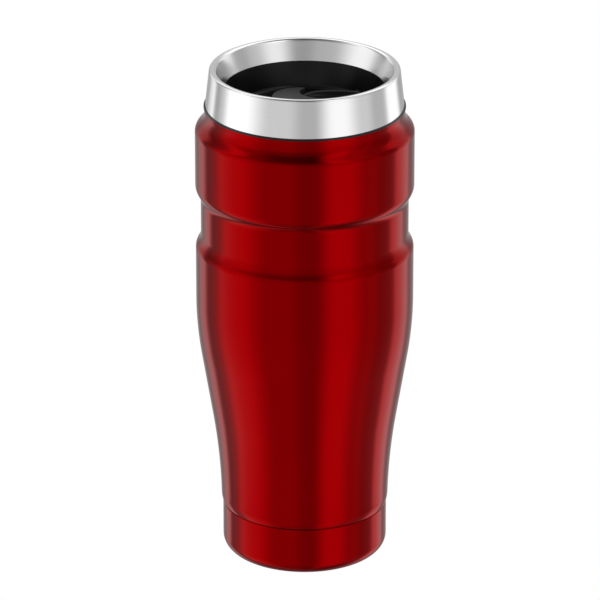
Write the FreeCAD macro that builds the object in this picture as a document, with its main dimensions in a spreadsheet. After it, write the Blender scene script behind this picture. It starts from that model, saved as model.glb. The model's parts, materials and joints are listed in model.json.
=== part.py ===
"""Insulated travel mug: a vacuum-walled steel body, and a screw lid with a swivel gate.

Frame: millimetres, +Z up, origin at the centre of the base.  X runs along the long axis of the
drinking opening, and +Y from the axis towards the side that the opening lies on.

Every turned piece is a closed outline in the XZ plane, revolved about Z.  An outline is a list of
corners (radius, height), each written as a sum of named sizes.  A corner that is reached along an
arc also names the arc's radius, and the side of the path that the arc's centre is on.
"""

import FreeCAD, Part
import math
import os

import Sketcher

Vector = FreeCAD.Vector

# ---------------------------------------------------------------------------------------------
# Driving dimensions, in millimetres and degrees
# ---------------------------------------------------------------------------------------------

SIZES = {
    "total_height": 203.2,
    "shell_wall": 0.5,
    "liner_wall": 0.4,
    "weld_gap": 0.05,
    # Base cup
    "base_radius": 32.72,
    "base_corner": 5.5,
    "base_wall": 0.5,
    "base_top": 20.1,
    "spigot_low": 20.4,
    "spigot_top": 26.5,
    "foot_inner_radius": 22.0,
    "panel_radius": 20.4,
    "panel_height": 1.6,
    "dimple_radius": 4.2,
    "dimple_foot_radius": 5.0,
    "dimple_height": 2.4,
    "port_radius": 1.1,
    # Outer shell, from its foot to its neck
    "foot_height": 20.6,
    "foot_radius": 32.8,
    "foot_curl_height": 24.0,
    "waist_radius": 33.23,
    "waist_height": 16.75,
    "flare_radius": 250.7,
    "belly_radius": 43.0,
    "belly_height": 108.26,
    "swell_radius": 146.9,
    "grip_shoulder_low": 128.9,
    "grip_shoulder_high": 135.5,
    "grip_shoulder_bulge": 4.0,
    "groove_radius": 40.94,
    "band_foot_low": 148.9,
    "band_foot_high": 155.6,
    "band_foot_bulge": 6.0,
    "band_radius": 43.1,
    "band_top": 177.3,
    "crease_bend": 3.3,
    "shoulder_angle": 42.0,
    "neck_radius": 39.35,
    "neck_height": 185.3,
    "lip_height": 187.1,
    # Inner liner
    "mouth_radius": 36.9,
    "mouth_low": 176.6,
    "mouth_high": 184.6,
    "collar_height": 185.9,
    "seat_radius": 35.75,
    "seat_high": 175.7,
    "seat_low": 168.5,
    "liner_radius": 34.2,
    "liner_shoulder_low": 164.5,
    "taper_high": 104.0,
    "taper_low": 44.0,
    "tub_radius": 28.8,
    "tub_corner": 9.0,
    "tub_floor": 13.6,
    # Vacuum fittings
    "foil_wall": 0.15,
    "foil_low": 24.0,
    "foil_high": 162.0,
    "getter_radius": 4.5,
    "getter_thickness": 2.4,
    "clip_wall": 0.4,
    "clip_brim_radius": 7.0,
    "bead_radius": 2.6,
    "bead_low": 1.9,
    "bead_stem_top": 3.6,
    # Lid thread, two starts, right hand
    "thread_lead": 9.0,
    "thread_starts": 2.0,
    "thread_root_half": 1.05,
    "thread_crest_half": 0.45,
    "thread_bite": 0.3,
    "thread_offset": 1.4,
    "plug_thread_low": 177.8,
    "plug_thread_rise": 4.4,
    "plug_thread_crest": 36.6,
    "liner_thread_rise": 4.2,
    # Lid plug and its gasket
    "plug_radius": 35.4,
    "plug_inner_radius": 32.8,
    "plug_low": 171.0,
    "plug_plate": 185.0,
    "plug_collar_radius": 30.7,
    "gasket_groove_radius": 33.9,
    "gasket_low": 171.8,
    "gasket_high": 175.6,
    "gasket_radius": 35.65,
    "gasket_rib": 0.9,
    "gasket_rib_low": 0.5,
    "gasket_rib_pitch": 1.75,
    "gasket_rib_flank": 0.3,
    "gasket_rib_crest": 0.35,
    # Lid body: bowl, flange and ring wall
    "flange_radius": 39.62,
    "flange_low": 187.2,
    "flange_high": 188.0,
    "bowl_rim_radius": 31.55,
    "bowl_rim_height": 195.0,
    "bowl_floor_radius": 28.7,
    "bowl_floor": 184.6,
    "bowl_corner": 1.6,
    "floor_underside": 182.6,
    "bowl_wall": 1.5,
    "ring_wall": 1.6,
    "ring_wall_top": 197.0,
    "sleeve_radius": 6.5,
    "sleeve_low": 180.9,
    # Steel rim ring
    "ring_foot_radius": 39.05,
    "ring_foot_height": 188.05,
    "ring_sheet": 0.6,
    "ring_taper": 6.42,
    "lip_outer_corner": 1.1,
    "lip_inner_corner": 1.75,
    "ring_cone_radius": 31.64,
    "ring_cone_height": 195.15,
    "ring_cone_angle": 23.2,
    # Drinking opening
    "opening_x": 12.0,
    "opening_y": 14.6,
    "opening_half_length": 12.2,
    "opening_half_width": 5.15,
    "opening_lip_top": 186.3,
    "opening_lip_half_length": 13.6,
    "opening_lip_half_width": 8.3,
    "throat_half_length": 10.0,
    "throat_half_width": 4.1,
    "throat_top": 183.0,
    # Vent hole and swivel gate
    "vent_angle": 239.0,
    "vent_reach": 17.0,
    "vent_radius": 1.25,
    "gate_reach_outer": 28.2,
    "gate_half_angle": 28.0,
    "gate_open_angle": 118.0,
    "gate_swing": 60.0,
    "stop_reach_inner": 8.0,
    "stop_reach_outer": 10.4,
    "stop_half_angle": 6.0,
    "stop_margin": 0.4,
    "stop_angle": 180.0,
    "stop_low": 181.0,
    "stop_lug_top": 182.3,
    "lever_angle": 105.0,
    "lever_low": 186.5,
    "lever_high": 188.1,
    "lever_hub_radius": 6.8,
    "paddle_reach": 9.6,
    "paddle_radius": 10.3,
    "paddle_clearance": 0.4,
    "shaft_radius": 4.0,
    "shaft_clearance": 0.1,
    "shaft_low": 180.65,
    "key_half": 2.6,
    "key_low": 177.05,
    "key_clearance": 0.05,
    "o_ring_radius": 3.55,
    "o_ring_section": 0.48,
    "o_ring_height": 182.5,
    "o_ring_groove_radius": 3.0,
    "o_ring_groove_half": 0.55,
    "rotor_high": 180.6,
    "rotor_plate_low": 179.0,
    "rotor_recess_top": 178.0,
    "rotor_low": 175.5,
    "rotor_hub_radius": 7.2,
    "rotor_recess_radius": 4.9,
    "vent_arm_reach": 20.0,
    "vent_arm_half_angle": 9.0,
    "seal_clearance": 0.08,
    "seal_inset": 0.6,
    "seal_reach_inner": 11.0,
    "peg_reach": 19.0,
    "peg_angle": 15.0,
    "peg_radius": 1.0,
    "peg_low": 178.6,
    "vent_seal_radius": 2.4,
    "spring_inner_radius": 3.8,
    "spring_outer_radius": 4.7,
    "spring_low": 177.05,
    "spring_rise": 0.55,
    "spring_sheet": 0.3,
    "washer_radius": 4.6,
    "washer_bore": 1.6,
    "washer_low": 176.45,
    "washer_high": 177.0,
    "screw_radius": 1.5,
    "screw_hole_radius": 1.55,
    "screw_hole_top": 184.0,
    "screw_tip": 183.4,
    "screw_head_radius": 3.0,
    "screw_head_high": 176.4,
    "screw_head_low": 174.4,
    "socket_radius": 1.45,
    "socket_depth": 1.2,
}

LEFT = "left"
RIGHT = "right"
OTHER_SIDE = {LEFT: RIGHT, RIGHT: LEFT}


def s_bend(rise, step, bulge):
    """Angle and second radius of the two tangent arcs that carry an upright wall across by step."""
    angle = 2 * math.atan(step / rise)
    return angle, rise / math.sin(angle) - bulge


def derive_shell():
    """Where the arcs and straight runs of the outer shell's side meet."""
    size = SIZES
    curl_reach = size["foot_curl_height"] - size["waist_height"]
    flare = size["flare_radius"]
    curl_end = size["waist_radius"] + flare - math.sqrt(flare ** 2 - curl_reach ** 2)
    curl_step = curl_end - size["foot_radius"]
    curl_rise = size["foot_curl_height"] - size["foot_height"]
    size["curl_end_radius"] = curl_end
    size["curl_bend"] = (curl_step ** 2 + curl_rise ** 2) / (2 * curl_step)

    swell = size["swell_radius"]
    rise = size["belly_height"] - size["waist_height"]
    across = size["waist_radius"] + flare - (size["belly_radius"] - swell)
    slope = math.atan2(rise, across) - math.acos((flare + swell) / math.hypot(rise, across))
    size["taper_foot_radius"] = size["waist_radius"] + flare * (1 - math.cos(slope))
    size["taper_foot_height"] = size["waist_height"] + flare * math.sin(slope)
    size["taper_head_radius"] = size["belly_radius"] - swell * (1 - math.cos(slope))
    size["taper_head_height"] = size["belly_height"] - swell * math.sin(slope)

    bulge = size["grip_shoulder_bulge"]
    rise = size["grip_shoulder_high"] - size["grip_shoulder_low"]
    angle, hollow = s_bend(rise, size["belly_radius"] - size["groove_radius"], bulge)
    size["grip_hollow_bend"] = hollow
    size["grip_middle_radius"] = size["belly_radius"] - bulge * (1 - math.cos(angle))
    size["grip_middle_height"] = size["grip_shoulder_low"] + bulge * math.sin(angle)

    bulge = size["band_foot_bulge"]
    rise = size["band_foot_high"] - size["band_foot_low"]
    angle, hollow = s_bend(rise, size["band_radius"] - size["groove_radius"], bulge)
    size["band_hollow_bend"] = hollow
    size["band_middle_radius"] = size["band_radius"] - bulge * (1 - math.cos(angle))
    size["band_middle_height"] = size["band_foot_high"] - bulge * math.sin(angle)


def derive_shoulder():
    """The crease, the straight slope and the hollow between the upper band and the neck."""
    size = SIZES
    angle = math.radians(size["shoulder_angle"])
    crease = size["crease_bend"]
    step = size["band_radius"] - size["neck_radius"]
    rise = size["neck_height"] - size["band_top"]
    bends = (rise - step / math.tan(angle)) / math.tan(angle / 2)
    straight = (step - bends * (1 - math.cos(angle))) / math.sin(angle)
    size["neck_bend"] = bends - crease
    size["crease_end_radius"] = size["band_radius"] - crease * (1 - math.cos(angle))
    size["crease_end_height"] = size["band_top"] + crease * math.sin(angle)
    size["slope_end_radius"] = size["crease_end_radius"] - straight * math.sin(angle)
    size["slope_end_height"] = size["crease_end_height"] + straight * math.cos(angle)


def derive_ring():
    """The steel ring's rolled lip, on its outer and inner faces."""
    size = SIZES
    sheet = size["ring_sheet"]
    top = size["total_height"]
    outer = size["lip_outer_corner"]
    inner = size["lip_inner_corner"]
    taper = math.radians(size["ring_taper"])
    cone = math.radians(size["ring_cone_angle"])
    bend_height = top - outer + outer * math.sin(taper)
    bend_rise = bend_height - size["ring_foot_height"]
    size["ring_bend_height"] = bend_height
    size["ring_bend_radius"] = size["ring_foot_radius"] - bend_rise * math.tan(taper)
    size["ring_crown_outer"] = size["ring_bend_radius"] - outer * math.cos(taper)
    size["ring_back_bend_radius"] = size["ring_bend_radius"] - sheet * math.cos(taper)
    size["ring_back_bend_height"] = bend_height - sheet * math.sin(taper)
    size["ring_back_foot_radius"] = size["ring_foot_radius"] - sheet / math.cos(taper)
    cone_height = top - inner + inner * math.sin(cone)
    cone_rise = cone_height - size["ring_cone_height"]
    size["cone_top_height"] = cone_height
    size["cone_top_radius"] = size["ring_cone_radius"] + cone_rise * math.tan(cone)
    size["ring_crown_inner"] = size["cone_top_radius"] + inner * math.cos(cone)
    size["cone_back_top_radius"] = size["cone_top_radius"] + sheet * math.cos(cone)
    size["cone_back_top_height"] = cone_height - sheet * math.sin(cone)
    size["cone_back_foot_radius"] = size["ring_cone_radius"] + sheet / math.cos(cone)
    wall_rise = size["ring_wall_top"] - size["flange_high"]
    size["ring_wall_foot"] = size["ring_back_foot_radius"] - 2 * size["weld_gap"]
    size["ring_wall_head"] = size["ring_wall_foot"] - wall_rise * math.tan(taper)


def derive_bowl():
    """The bowl's wall: the end of its floor corner, and its outer face above the flange."""
    size = SIZES
    lean = math.atan2(size["bowl_rim_radius"] - size["bowl_floor_radius"],
                      size["bowl_rim_height"] - size["bowl_floor"])
    corner = size["bowl_corner"]
    reach = corner * math.tan((math.pi / 2 - lean) / 2)
    size["bowl_corner_start"] = size["bowl_floor_radius"] - reach
    size["bowl_corner_radius"] = size["bowl_floor_radius"] + reach * math.sin(lean)
    size["bowl_corner_height"] = size["bowl_floor"] + reach * math.cos(lean)
    flange_rise = size["flange_high"] - size["bowl_floor"]
    size["bowl_back_radius"] = (size["bowl_floor_radius"] + size["bowl_wall"]
                                + flange_rise * math.tan(lean))


derive_shell()
derive_shoulder()
derive_ring()
derive_bowl()

# ---------------------------------------------------------------------------------------------
# Document, sheet of sizes, and the helpers that bind features to it
# ---------------------------------------------------------------------------------------------

DOC = FreeCAD.newDocument("TravelMug")
SHEET = DOC.addObject("Spreadsheet::Sheet", "Sizes")
for row, (name, number) in enumerate(SIZES.items(), start=1):
    SHEET.set("A%d" % row, name)
    SHEET.set("B%d" % row, repr(number))
    SHEET.setAlias("B%d" % row, name)
DOC.recompute()

ORIGIN = (-1, 1)
FLAT_AXIS = -1
UPRIGHT_AXIS = -2


def amount(text):
    """Value of a sum of named sizes and numbers, such as "belly_radius - shell_wall"."""
    total = 0.0
    sign = 1.0
    for word in text.split():
        if word in ("+", "-"):
            sign = 1.0 if word == "+" else -1.0
        else:
            total += sign * (SIZES[word] if word in SIZES else float(word))
    return total


def formula(text):
    """The same sum as an expression on the sheet's cells."""
    return " ".join("Sizes." + word if word in SIZES else word for word in text.split())


def new_body(label):
    """An empty body whose label is the name of its node."""
    body = DOC.addObject("PartDesign::Body", label)
    body.Label = label
    body.Placement = FreeCAD.Placement()
    return body


def origin_feature(body, role):
    """The plane or axis of the body's own origin that has this role."""
    return next(item for item in body.Origin.OriginFeatures if item.Role == role)


def new_sketch(body, name, plane, height=None, turn=None):
    """A sketch on one of the body's planes, raised to height and turned about Z if asked."""
    sketch = body.newObject("Sketcher::SketchObject", name)
    sketch.AttachmentSupport = (origin_feature(body, plane), [""])
    sketch.MapMode = "FlatFace"
    lift = Vector(0, 0, amount(height)) if height else Vector()
    angle = amount(turn) if turn else 0
    sketch.AttachmentOffset = FreeCAD.Placement(lift, FreeCAD.Rotation(Vector(0, 0, 1), angle))
    if height:
        sketch.setExpression("AttachmentOffset.Base.z", formula(height))
    if turn:
        sketch.setExpression("AttachmentOffset.Rotation.Angle", formula(turn))
    return sketch


def hold(sketch, kind, *place_and_text):
    """Add a dimension, bound to the sheet."""
    *place, text = place_and_text
    index = sketch.addConstraint(Sketcher.Constraint(kind, *place, amount(text)))
    sketch.setExpression("Constraints[%d]" % index, formula(text))


def hold_point(sketch, geometry, end, across, along):
    """Fix a point of the sketch at two sums of named sizes."""
    for kind, text, axis in (("DistanceX", across, UPRIGHT_AXIS), ("DistanceY", along, FLAT_AXIS)):
        if amount(text) == 0:
            sketch.addConstraint(Sketcher.Constraint("PointOnObject", geometry, end, axis))
        else:
            hold(sketch, kind, *ORIGIN, geometry, end, text)


def arc_edge(start, end, radius, side):
    """Arc of a circle from start to end, with its centre on that side of the way."""
    chord = end - start
    across = Vector(-chord.y, chord.x, 0).normalize()
    if side == RIGHT:
        across = across * -1
    centre = (start + end) * 0.5 + across * math.sqrt(radius ** 2 - chord.Length ** 2 / 4)
    first, last = (start, end) if side == LEFT else (end, start)
    angles = [math.atan2(point.y - centre.y, point.x - centre.x) for point in (first, last)]
    return Part.ArcOfCircle(Part.Circle(centre, Vector(0, 0, 1), radius), *angles)


def draw_outline(sketch, corners):
    """Closed outline through the corners, with every corner and every arc bound to the sheet."""
    points = [Vector(amount(corner[0]), amount(corner[1]), 0) for corner in corners]
    ends = []
    for index, corner in enumerate(corners):
        start, end = points[index - 1], points[index]
        if len(corner) == 2:
            edge = sketch.addGeometry(Part.LineSegment(start, end), False)
            ends.append((edge, 1, 2))
        else:
            edge = sketch.addGeometry(arc_edge(start, end, amount(corner[2]), corner[3]), False)
            ends.append((edge, 1, 2) if corner[3] == LEFT else (edge, 2, 1))
    for index, corner in enumerate(corners):
        edge, begin, _ = ends[index]
        before, _, finish = ends[index - 1]
        sketch.addConstraint(Sketcher.Constraint("Coincident", before, finish, edge, begin))
        hold_point(sketch, edge, ends[index][2], corner[0], corner[1])
        if len(corner) == 4:
            hold(sketch, "Radius", edge, corner[2])
    return sketch


def draw_circle(sketch, radius, across="0"):
    """Circle on the sketch's flat axis."""
    circle = Part.Circle(Vector(amount(across), 0, 0), Vector(0, 0, 1), amount(radius))
    edge = sketch.addGeometry(circle, False)
    hold_point(sketch, edge, 3, across, "0")
    hold(sketch, "Radius", edge, radius)
    return sketch


def draw_box(sketch, left, right, low, high):
    """Rectangle between two distances along the sketch's flat axis and two along its upright."""
    corners = [(left, low), (right, low), (right, high), (left, high)]
    points = [Vector(amount(across), amount(along), 0) for across, along in corners]
    for index, (across, along) in enumerate(corners):
        edge = sketch.addGeometry(Part.LineSegment(points[index], points[(index + 1) % 4]), False)
        hold_point(sketch, edge, 1, across, along)
    for index in range(4):
        sketch.addConstraint(Sketcher.Constraint("Coincident", index, 2, (index + 1) % 4, 1))
    return sketch


def draw_sector(sketch, near, far, half_angle):
    """Ring sector about the origin, half on each side of the sketch's flat axis."""
    angle = math.radians(amount(half_angle))
    for radius in (far, near):
        circle = Part.Circle(Vector(), Vector(0, 0, 1), amount(radius))
        edge = sketch.addGeometry(Part.ArcOfCircle(circle, -angle, angle), False)
        sketch.addConstraint(Sketcher.Constraint("Coincident", edge, 3, *ORIGIN))
        hold(sketch, "Radius", edge, radius)
    for end, turn in ((1, -angle), (2, angle)):
        away = Vector(math.cos(turn), math.sin(turn), 0)
        side = Part.LineSegment(away * amount(near), away * amount(far))
        edge = sketch.addGeometry(side, False)
        sketch.addConstraint(Sketcher.Constraint("Coincident", edge, 1, 1, end))
        sketch.addConstraint(Sketcher.Constraint("Coincident", edge, 2, 0, end))
        sketch.addConstraint(Sketcher.Constraint("PointOnObject", *ORIGIN, edge))
    sketch.addConstraint(Sketcher.Constraint("Symmetric", 0, 1, 0, 2, FLAT_AXIS))
    index = sketch.addConstraint(Sketcher.Constraint("Angle", 2, 1, 3, 1, 2 * angle))
    sketch.setExpression("Constraints[%d]" % index, "2 * (%s)" % formula(half_angle))
    return sketch


def draw_oval(sketch, half_length, half_width):
    """Ellipse round the drinking opening's centre, long along X."""
    centre = Vector(SIZES["opening_x"], SIZES["opening_y"], 0)
    end = centre + Vector(amount(half_length), 0, 0)
    side = centre + Vector(0, amount(half_width), 0)
    oval = sketch.addGeometry(Part.Ellipse(end, side, centre), False)
    sketch.exposeInternalGeometry(oval)
    hold_point(sketch, oval, 3, "opening_x", "opening_y")
    long_axis, short_axis = oval + 1, oval + 2
    sketch.addConstraint(Sketcher.Constraint("Horizontal", long_axis))
    for axis, text in ((long_axis, half_length), (short_axis, half_width)):
        index = sketch.addConstraint(Sketcher.Constraint("Distance", axis, 2 * amount(text)))
        sketch.setExpression("Constraints[%d]" % index, "2 * (%s)" % formula(text))
    return sketch


def revolve(label, corners):
    """A new body that is one closed outline turned about Z."""
    body = new_body(label)
    sketch = draw_outline(new_sketch(body, label + "_outline", "XZ_Plane"), corners)
    turned = body.newObject("PartDesign::Revolution", label + "_turned")
    turned.Profile = sketch
    turned.ReferenceAxis = (sketch, ["V_Axis"])
    turned.Angle = 360.0
    DOC.recompute()
    return body


def extrude(body, sketch, length, kind="PartDesign::Pad"):
    """Pad, or pocket, of a sketch upwards by length."""
    feature = body.newObject(kind, sketch.Name + "_" + kind[12:].lower())
    feature.Profile = sketch
    feature.Reversed = kind == "PartDesign::Pocket"
    feature.setExpression("Length", formula(length))
    DOC.recompute()
    return feature


def cut(body, sketch, length):
    """Pocket of a sketch upwards by length, which has to take material away."""
    before = body.Shape.Volume
    extrude(body, sketch, length, "PartDesign::Pocket")
    if body.Shape.Volume >= before:
        raise RuntimeError(body.Label + ": " + sketch.Name + " cuts nothing")


def add_thread(body, name, low, rise, corners):
    """Two-start right-hand thread on a turned wall, from its section in the XZ plane."""
    sketch = draw_outline(new_sketch(body, name + "_section", "XZ_Plane"), corners)
    ridge = body.newObject("PartDesign::AdditiveHelix", name + "_ridge")
    ridge.Profile = sketch
    ridge.ReferenceAxis = (sketch, ["V_Axis"])
    ridge.Mode = "pitch-height-angle"
    ridge.Reversed = False
    ridge.LeftHanded = False
    ridge.setExpression("Pitch", formula("thread_lead"))
    ridge.setExpression("Height", formula(rise))
    DOC.recompute()
    starts = body.newObject("PartDesign::PolarPattern", name + "_starts")
    starts.Originals = [ridge]
    starts.Axis = (origin_feature(body, "Z_Axis"), [""])
    starts.Angle = 360.0
    starts.setExpression("Occurrences", formula("thread_starts"))
    body.Tip = starts
    DOC.recompute()


def moved(side, change):
    """The same side of a section, with its radii changed, such as by " - shell_wall"."""
    return [(corner[0] + change,) + corner[1:] for corner in side]


def walked_back(side):
    """The same side of a section, walked the other way."""
    back = []
    bend = ()
    for corner in reversed(side):
        back.append(corner[:2] + bend)
        bend = (corner[2], OTHER_SIDE[corner[3]]) if len(corner) == 4 else ()
    return back


def ring_section(inner, outer, low, high):
    """Plain rectangular section of a ring or tube."""
    return [(inner, low), (outer, low), (outer, high), (inner, high)]


# ---------------------------------------------------------------------------------------------
# Vessel: painted shell and base cup outside, steel liner inside, vacuum between them
# ---------------------------------------------------------------------------------------------


def outer_shell():
    """Hydroformed sheet: flared foot, swollen belly, grip groove, upper band and neck."""
    side = [
        ("foot_radius", "foot_height"),
        ("curl_end_radius", "foot_curl_height", "curl_bend", LEFT),
        ("taper_foot_radius", "taper_foot_height", "flare_radius", RIGHT),
        ("taper_head_radius", "taper_head_height"),
        ("belly_radius", "belly_height", "swell_radius", LEFT),
        ("belly_radius", "grip_shoulder_low"),
        ("grip_middle_radius", "grip_middle_height", "grip_shoulder_bulge", LEFT),
        ("groove_radius", "grip_shoulder_high", "grip_hollow_bend", RIGHT),
        ("groove_radius", "band_foot_low"),
        ("band_middle_radius", "band_middle_height", "band_hollow_bend", RIGHT),
        ("band_radius", "band_foot_high", "band_foot_bulge", LEFT),
        ("band_radius", "band_top"),
        ("crease_end_radius", "crease_end_height", "crease_bend", LEFT),
        ("slope_end_radius", "slope_end_height"),
        ("neck_radius", "neck_height", "neck_bend", RIGHT),
        ("neck_radius", "lip_height"),
    ]
    return revolve("outer_shell", side + walked_back(moved(side, " - shell_wall")))


def inner_liner():
    """Deep-drawn cup: tub, taper, gasket seat, threaded mouth, and a collar welded at the lip."""
    wall = [
        ("tub_radius", "tub_floor + tub_corner", "tub_corner", LEFT),
        ("tub_radius", "taper_low"),
        ("liner_radius", "taper_high"),
        ("liner_radius", "liner_shoulder_low"),
        ("seat_radius", "seat_low"),
        ("seat_radius", "seat_high"),
        ("mouth_radius", "mouth_low"),
        ("mouth_radius", "mouth_high"),
        ("neck_radius - shell_wall - weld_gap - liner_wall", "collar_height"),
        ("neck_radius - shell_wall - weld_gap - liner_wall", "lip_height"),
    ]
    back = walked_back(moved(wall, " + liner_wall"))
    corners = [("0", "tub_floor"), ("tub_radius - tub_corner", "tub_floor")] + wall + back
    corners.append(("tub_radius - tub_corner", "tub_floor - liner_wall",
                    "tub_corner + liner_wall", RIGHT))
    corners.append(("0", "tub_floor - liner_wall"))
    body = revolve("inner_liner", corners)
    middle = "plug_thread_low + thread_offset"
    add_thread(body, "liner_thread", middle, "liner_thread_rise", [
        ("mouth_radius + thread_bite", middle + " - thread_root_half"),
        ("mouth_radius + thread_bite", middle + " + thread_root_half"),
        ("seat_radius", middle + " + thread_crest_half"),
        ("seat_radius", middle + " - thread_crest_half"),
    ])
    return body


def base_cup():
    """Drawn foot: standing ring, raised panel with the evacuation dimple, and a joggled spigot."""
    return revolve("base_cup", [
        ("foot_inner_radius", "0"),
        ("base_radius - base_corner", "0"),
        ("base_radius", "base_corner", "base_corner", LEFT),
        ("base_radius", "base_top"),
        ("foot_radius - shell_wall - weld_gap", "spigot_low"),
        ("foot_radius - shell_wall - weld_gap", "spigot_top"),
        ("foot_radius - shell_wall - weld_gap - base_wall", "spigot_top"),
        ("foot_radius - shell_wall - weld_gap - base_wall", "spigot_low - base_wall"),
        ("base_radius - base_wall", "base_top - base_wall"),
        ("base_radius - base_wall", "base_corner"),
        ("base_radius - base_corner", "base_wall", "base_corner - base_wall", RIGHT),
        ("foot_inner_radius", "base_wall"),
        ("panel_radius", "panel_height + base_wall"),
        ("dimple_foot_radius", "panel_height + base_wall"),
        ("dimple_radius", "dimple_height + base_wall"),
        ("port_radius", "dimple_height + base_wall"),
        ("port_radius", "dimple_height"),
        ("dimple_radius", "dimple_height"),
        ("dimple_foot_radius", "panel_height"),
        ("panel_radius", "panel_height"),
    ])


def evacuation_seal():
    """Brazed bead that closes the port in the dimple."""
    stem = "port_radius - weld_gap"
    return revolve("evacuation_seal", [
        ("0", "bead_low"),
        ("bead_radius", "bead_low"),
        ("bead_radius", "dimple_height - weld_gap"),
        (stem, "dimple_height - weld_gap"),
        (stem, "bead_stem_top"),
        ("0", "bead_stem_top"),
    ])


def getter_pill():
    """Gas-absorbing pill under the liner's floor."""
    top = "tub_floor - liner_wall - weld_gap"
    return revolve("getter_pill", ring_section("0", "getter_radius", top + " - getter_thickness", top))


def getter_clip():
    """Cup round the pill, whose brim is spot-welded to the liner's floor."""
    top = "tub_floor - liner_wall - weld_gap"
    pill_low = top + " - getter_thickness - weld_gap"
    inner = "getter_radius + weld_gap"
    outer = inner + " + clip_wall"
    return revolve("getter_clip", [
        ("0", pill_low + " - clip_wall"),
        (outer, pill_low + " - clip_wall"),
        (outer, top + " - clip_wall"),
        ("clip_brim_radius", top + " - clip_wall"),
        ("clip_brim_radius", top),
        (inner, top),
        (inner, pill_low),
        ("0", pill_low),
    ])


def radiation_foil():
    """Copper foil sleeve that lies round the liner in the vacuum."""
    side = [
        ("tub_radius + liner_wall + weld_gap", "foil_low"),
        ("tub_radius + liner_wall + weld_gap", "taper_low"),
        ("liner_radius + liner_wall + weld_gap", "taper_high"),
        ("liner_radius + liner_wall + weld_gap", "foil_high"),
    ]
    return revolve("radiation_foil", moved(side, " + foil_wall") + walked_back(side))


# ---------------------------------------------------------------------------------------------
# Lid: bowl, threaded plug, gasket and steel rim ring
# ---------------------------------------------------------------------------------------------


def lid_gasket():
    """Silicone ring with two sealing ribs, in the groove of the plug."""
    core = "gasket_radius - gasket_rib"
    corners = [
        ("gasket_groove_radius + weld_gap", "gasket_high - weld_gap"),
        ("gasket_groove_radius + weld_gap", "gasket_low + weld_gap"),
        (core, "gasket_low + weld_gap"),
    ]
    foot = "gasket_low + gasket_rib_low"
    for _ in range(2):
        crest = foot + " + gasket_rib_flank"
        corners += [
            (core, foot),
            ("gasket_radius", crest),
            ("gasket_radius", crest + " + gasket_rib_crest"),
            (core, crest + " + gasket_rib_crest + gasket_rib_flank"),
        ]
        foot += " + gasket_rib_pitch"
    corners.append((core, "gasket_high - weld_gap"))
    return revolve("lid_gasket", corners)


def lid_plug():
    """Threaded skirt under the lid, with the gasket's groove, welded round the bowl's spigot."""
    body = revolve("lid_plug", [
        ("plug_inner_radius", "plug_low"),
        ("plug_radius", "plug_low"),
        ("plug_radius", "gasket_low"),
        ("gasket_groove_radius", "gasket_low"),
        ("gasket_groove_radius", "gasket_high"),
        ("plug_radius", "gasket_high"),
        ("plug_radius", "flange_low - weld_gap"),
        ("plug_collar_radius", "flange_low - weld_gap"),
        ("plug_collar_radius", "plug_plate"),
        ("plug_inner_radius", "plug_plate"),
    ])
    add_thread(body, "plug_thread", "plug_thread_low", "plug_thread_rise", [
        ("plug_radius - thread_bite", "plug_thread_low - thread_root_half"),
        ("plug_thread_crest", "plug_thread_low - thread_crest_half"),
        ("plug_thread_crest", "plug_thread_low + thread_crest_half"),
        ("plug_radius - thread_bite", "plug_thread_low + thread_root_half"),
    ])
    return body


def lid_body():
    """Bowl with the drinking opening, its raised lip, the vent, the flange and the ring wall."""
    bore = "shaft_radius + shaft_clearance"
    spigot = "plug_collar_radius - weld_gap"
    body = revolve("lid_body", [
        (bore, "sleeve_low"),
        ("sleeve_radius", "sleeve_low"),
        ("sleeve_radius", "floor_underside"),
        (spigot, "floor_underside"),
        (spigot, "flange_low"),
        ("flange_radius", "flange_low"),
        ("flange_radius", "flange_high"),
        ("ring_wall_foot", "flange_high"),
        ("ring_wall_head", "ring_wall_top"),
        ("ring_wall_head - ring_wall", "ring_wall_top"),
        ("ring_wall_foot - ring_wall", "flange_high"),
        ("bowl_back_radius", "flange_high"),
        ("bowl_rim_radius + bowl_wall", "bowl_rim_height"),
        ("bowl_rim_radius", "bowl_rim_height"),
        ("bowl_corner_radius", "bowl_corner_height"),
        ("bowl_corner_start", "bowl_floor", "bowl_corner", RIGHT),
        (bore, "bowl_floor"),
    ])
    add_opening(body)
    vent = new_sketch(body, "vent_hole", "XY_Plane", "floor_underside", "vent_angle")
    cut(body, draw_circle(vent, "vent_radius", "vent_reach"), "bowl_floor - floor_underside")
    reach = "stop_half_angle + stop_half_angle + stop_margin"
    for name, turn in (("opening_stop", "stop_angle + " + reach),
                       ("closing_stop", "stop_angle - gate_swing - stop_half_angle"
                                        " - stop_half_angle - stop_margin")):
        sketch = new_sketch(body, name, "XY_Plane", "stop_low", turn)
        draw_sector(sketch, "stop_reach_inner", "stop_reach_outer", "stop_half_angle")
        extrude(body, sketch, "floor_underside - stop_low")
    return body


def add_opening(body):
    """Raised oval lip, bevelled into an oval throat that goes through the floor."""
    lip = new_sketch(body, "opening_lip", "XY_Plane", "bowl_floor")
    draw_oval(lip, "opening_lip_half_length", "opening_lip_half_width")
    extrude(body, lip, "opening_lip_top - bowl_floor")
    before = body.Shape.Volume
    mouth = new_sketch(body, "opening_mouth", "XY_Plane", "opening_lip_top")
    draw_oval(mouth, "opening_half_length", "opening_half_width")
    neck = new_sketch(body, "opening_neck", "XY_Plane", "throat_top")
    draw_oval(neck, "throat_half_length", "throat_half_width")
    bevel = body.newObject("PartDesign::SubtractiveLoft", "opening_bevel")
    bevel.Profile = mouth
    bevel.Sections = [neck]
    bevel.Ruled = True
    DOC.recompute()
    throat = new_sketch(body, "opening_throat", "XY_Plane", "floor_underside")
    draw_oval(throat, "throat_half_length", "throat_half_width")
    cut(body, throat, "throat_top - floor_underside")
    if body.Shape.Volume >= before:
        raise RuntimeError("the drinking opening cuts nothing")


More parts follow.
